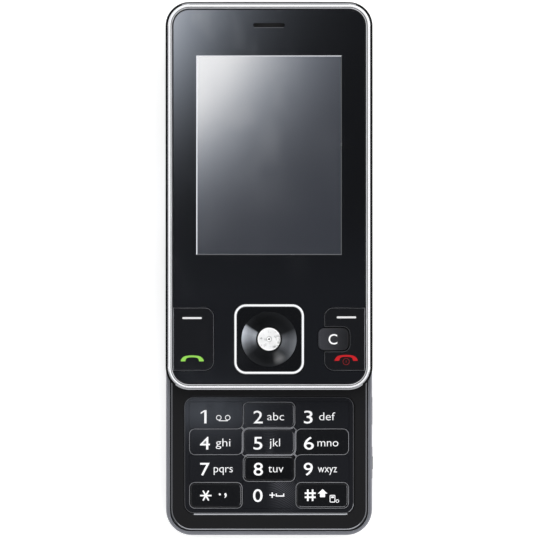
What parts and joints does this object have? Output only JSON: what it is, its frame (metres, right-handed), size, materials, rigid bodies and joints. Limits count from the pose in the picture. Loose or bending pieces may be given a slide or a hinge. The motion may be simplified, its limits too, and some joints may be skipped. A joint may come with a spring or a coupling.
{
  "type": "slider mobile phone",
  "caption": "Open slider mobile phone: a screen half with navigation keys slides on rails over a keypad half with camera and battery.",
  "frame": {"origin": "centre of the keypad half's flat back, on which the open phone lies", "axes": "+Y from the keypad end to the screen end, +Z out of the screen, +X to the right seen from the front"},
  "size_m": [0.0511, 0.1314, 0.0148],
  "materials": {
    "gunmetal_paint": "satin gunmetal paint",
    "matt_black_plastic": "fine matt black",
    "key_plastic": "semi-gloss charcoal with printed legends",
    "black_rubber": "matt",
    "dark_metal_key": "satin",
    "spring_steel": "bright rolled",
    "circuit_board": "solder mask",
    "tinned_steel": "tinned",
    "screw_steel": "blackened zinc",
    "battery_wrap": "printed film",
    "card_plastic": "white",
    "module_black": "moulded",
    "bezel_aluminium": "turned",
    "lens_glass": "coated",
    "white_acetal": "moulded",
    "flex_film": "polyimide",
    "chrome": "polished",
    "glossy_face": "back-painted acrylic",
    "satin_key": "satin",
    "display": "polariser film",
    "backlight_white": "diffuser",
    "mesh_fabric": "fine woven mesh",
    "spun_silver": "spun circles"
  },
  "bodies": {
    "keypad_half": {"rear_housing": "gunmetal_paint", "front_housing": "matt_black_plastic", "keypad_frame": "key_plastic", "keypad_mat": "black_rubber", "dome_sheet": "spring_steel", "main_board": "circuit_board", "shield_cans": "tinned_steel", "battery": "battery_wrap", "battery_contacts": "spring_steel", "sim_holder": "tinned_steel", "sim_card": "card_plastic", "camera_module": "module_black", "camera_bezel": "bezel_aluminium", "camera_window": "lens_glass", "loudspeaker": "module_black", "vibration_motor": "tinned_steel", "antenna": "spring_steel", "microphone": "module_black", "system_connector": "tinned_steel", "base_screws": "screw_steel", "slide_carriage": "tinned_steel", "glide_shoes": "white_acetal", "assist_springs": "spring_steel", "slide_flex": "flex_film"},
    "screen_half": {"slide_rear_housing": "matt_black_plastic", "slide_front_housing": "matt_black_plastic", "chrome_trim": "chrome", "front_window": "glossy_face", "rail_plate": "tinned_steel", "slide_screws": "screw_steel", "lcd_panel": "display", "lcd_backlight": "backlight_white", "earpiece": "module_black", "earpiece_mesh": "mesh_fabric", "slide_board": "circuit_board", "slide_key_mat": "black_rubber"},
    "key_1_cap": {"key_1": "key_plastic"},
    "key_2_cap": {"key_2": "key_plastic"},
    "key_3_cap": {"key_3": "key_plastic"},
    "key_4_cap": {"key_4": "key_plastic"},
    "key_5_cap": {"key_5": "key_plastic"},
    "key_6_cap": {"key_6": "key_plastic"},
    "key_7_cap": {"key_7": "key_plastic"},
    "key_8_cap": {"key_8": "key_plastic"},
    "key_9_cap": {"key_9": "key_plastic"},
    "key_star_cap": {"key_star": "key_plastic"},
    "key_0_cap": {"key_0": "key_plastic"},
    "key_hash_cap": {"key_hash": "key_plastic"},
    "clear_cap": {"clear_key": "satin_key"},
    "ok_cap": {"ok_key": "spun_silver"},
    "side_cap": {"side_key": "dark_metal_key"},
    "camera_cap": {"camera_key": "dark_metal_key"},
    "left_rocker_cap": {"left_rocker": "glossy_face"},
    "right_rocker_cap": {"right_rocker": "glossy_face"},
    "nav_pad_ring": {"nav_pad": "black_rubber"},
    "nav_cap": {"nav_key": "glossy_face", "nav_rim": "chrome"},
    "volume_cap": {"volume_key": "dark_metal_key"},
    "port_flap": {"port_cover": "black_rubber"},
    "back_cover": {"battery_cover": "matt_black_plastic"}
  },
  "joints": [
    {"name": "slide_travel", "type": "slide", "parent": "keypad_half", "child": "screen_half", "axis": [0, -1, 0], "range_m": [0, 0.0357], "deforming": ["assist_springs", "slide_flex"]},
    {"name": "key_1_press", "type": "slide", "parent": "keypad_half", "child": "key_1_cap", "axis": [0, 0, -1], "range_m": [0, 0.00025], "stiffness_N_per_m": 150, "springref_m": -0.002},
    {"name": "key_2_press", "type": "slide", "parent": "keypad_half", "child": "key_2_cap", "axis": [0, 0, -1], "range_m": [0, 0.00025], "stiffness_N_per_m": 150, "springref_m": -0.002},
    {"name": "key_3_press", "type": "slide", "parent": "keypad_half", "child": "key_3_cap", "axis": [0, 0, -1], "range_m": [0, 0.00025], "stiffness_N_per_m": 150, "springref_m": -0.002},
    {"name": "key_4_press", "type": "slide", "parent": "keypad_half", "child": "key_4_cap", "axis": [0, 0, -1], "range_m": [0, 0.00025], "stiffness_N_per_m": 150, "springref_m": -0.002},
    {"name": "key_5_press", "type": "slide", "parent": "keypad_half", "child": "key_5_cap", "axis": [0, 0, -1], "range_m": [0, 0.00025], "stiffness_N_per_m": 150, "springref_m": -0.002},
    {"name": "key_6_press", "type": "slide", "parent": "keypad_half", "child": "key_6_cap", "axis": [0, 0, -1], "range_m": [0, 0.00025], "stiffness_N_per_m": 150, "springref_m": -0.002},
    {"name": "key_7_press", "type": "slide", "parent": "keypad_half", "child": "key_7_cap", "axis": [0, 0, -1], "range_m": [0, 0.00025], "stiffness_N_per_m": 150, "springref_m": -0.002},
    {"name": "key_8_press", "type": "slide", "parent": "keypad_half", "child": "key_8_cap", "axis": [0, 0, -1], "range_m": [0, 0.00025], "stiffness_N_per_m": 150, "springref_m": -0.002},
    {"name": "key_9_press", "type": "slide", "parent": "keypad_half", "child": "key_9_cap", "axis": [0, 0, -1], "range_m": [0, 0.00025], "stiffness_N_per_m": 150, "springref_m": -0.002},
    {"name": "key_star_press", "type": "slide", "parent": "keypad_half", "child": "key_star_cap", "axis": [0, 0, -1], "range_m": [0, 0.00025], "stiffness_N_per_m": 150, "springref_m": -0.002},
    {"name": "key_0_press", "type": "slide", "parent": "keypad_half", "child": "key_0_cap", "axis": [0, 0, -1], "range_m": [0, 0.00025], "stiffness_N_per_m": 150, "springref_m": -0.002},
    {"name": "key_hash_press", "type": "slide", "parent": "keypad_half", "child": "key_hash_cap", "axis": [0, 0, -1], "range_m": [0, 0.00025], "stiffness_N_per_m": 150, "springref_m": -0.002},
    {"name": "clear_press", "type": "slide", "parent": "screen_half", "child": "clear_cap", "axis": [0, 0, -1], "range_m": [0, 0.00025], "stiffness_N_per_m": 150, "springref_m": -0.002},
    {"name": "ok_press", "type": "slide", "parent": "screen_half", "child": "ok_cap", "axis": [0, 0, -1], "range_m": [0, 0.00025], "stiffness_N_per_m": 150, "springref_m": -0.002},
    {"name": "side_press", "type": "slide", "parent": "keypad_half", "child": "side_cap", "axis": [-1, 0, 0], "range_m": [0, 0.00025], "stiffness_N_per_m": 150, "springref_m": -0.002},
    {"name": "camera_press", "type": "slide", "parent": "keypad_half", "child": "camera_cap", "axis": [-1, 0, 0], "range_m": [0, 0.00025], "stiffness_N_per_m": 150, "springref_m": -0.002},
    {"name": "left_rocker_tilt", "type": "hinge", "parent": "screen_half", "child": "left_rocker_cap", "pos_m": [-0.0186, 0.00055, 0.01385], "axis": [1, 0, 0], "range_deg": [-2, 2], "stiffness_Nm_per_rad": 0.002},
    {"name": "right_rocker_tilt", "type": "hinge", "parent": "screen_half", "child": "right_rocker_cap", "pos_m": [0.0186, 0.00055, 0.01385], "axis": [1, 0, 0], "range_deg": [-2, 2], "stiffness_Nm_per_rad": 0.002},
    {"name": "nav_tilt_up_down", "type": "hinge", "parent": "screen_half", "child": "nav_pad_ring", "pos_m": [0, 0.00055, 0.0132], "axis": [1, 0, 0], "range_deg": [-1.5, 1.5], "stiffness_Nm_per_rad": 0.004},
    {"name": "nav_tilt_left_right", "type": "hinge", "parent": "nav_pad_ring", "child": "nav_cap", "pos_m": [0, 0.00055, 0.0132], "axis": [0, 1, 0], "range_deg": [-1.5, 1.5], "stiffness_Nm_per_rad": 0.004},
    {"name": "volume_rock", "type": "hinge", "parent": "keypad_half", "child": "volume_cap", "pos_m": [-0.0245, 0.016, 0.0041], "axis": [0, 0, 1], "range_deg": [-1.2, 1.2], "stiffness_Nm_per_rad": 0.002},
    {"name": "port_cover_swing", "type": "hinge", "parent": "keypad_half", "child": "port_flap", "pos_m": [-0.0254, -0.034, 0.0041], "axis": [0, 0, 1], "range_deg": [0, 90]},
    {"name": "battery_cover_slide", "type": "slide", "parent": "keypad_half", "child": "back_cover", "axis": [0, -1, 0], "range_m": [0, 0.003]}
  ]
}
